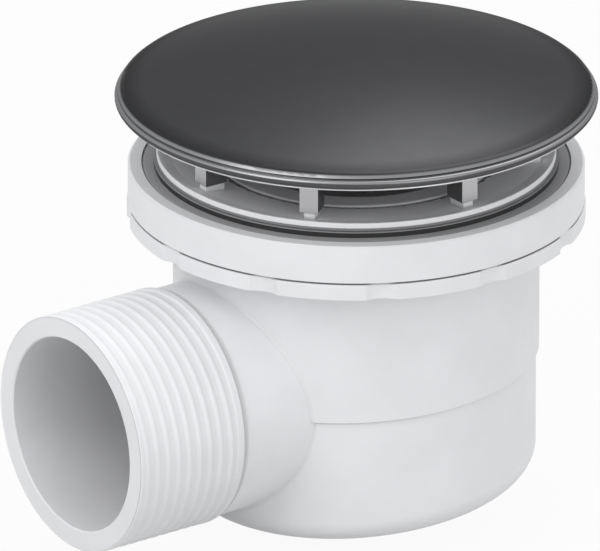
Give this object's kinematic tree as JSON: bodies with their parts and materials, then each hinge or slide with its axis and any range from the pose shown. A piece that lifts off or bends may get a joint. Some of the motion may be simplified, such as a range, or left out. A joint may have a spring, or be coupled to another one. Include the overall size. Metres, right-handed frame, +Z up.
{
  "type": "shower trap",
  "caption": "Shower tray trap: domed cover on legs over a dished waste flange, gasket collar, pot with sloping floor, dip tube and weir, and a threaded side outlet.",
  "frame": {"origin": "on the waste's axis, in the plane of the gasket collar's top edge, where the shower tray is clamped", "axes": "+Z up along the waste's axis, out of the tray; -X along the outlet, away from the body"},
  "size_m": [0.1413, 0.115, 0.1092],
  "materials": {
    "cover_grey": "satin dark steel",
    "carrier_metal": "satin steel",
    "white_plastic": "moulded white",
    "insert_plastic": "moulded grey",
    "seal_rubber": "moulded dark grey"
  },
  "bodies": {
    "root": {"dome_cover": "cover_grey", "cover_carrier": "carrier_metal", "waste_flange": "white_plastic", "dip_tube": "insert_plastic", "dip_tube_seal": "seal_rubber", "upper_gasket": "seal_rubber", "lower_gasket": "seal_rubber", "gasket_collar": "white_plastic", "trap_body": "white_plastic"}
  },
  "joints": []
}
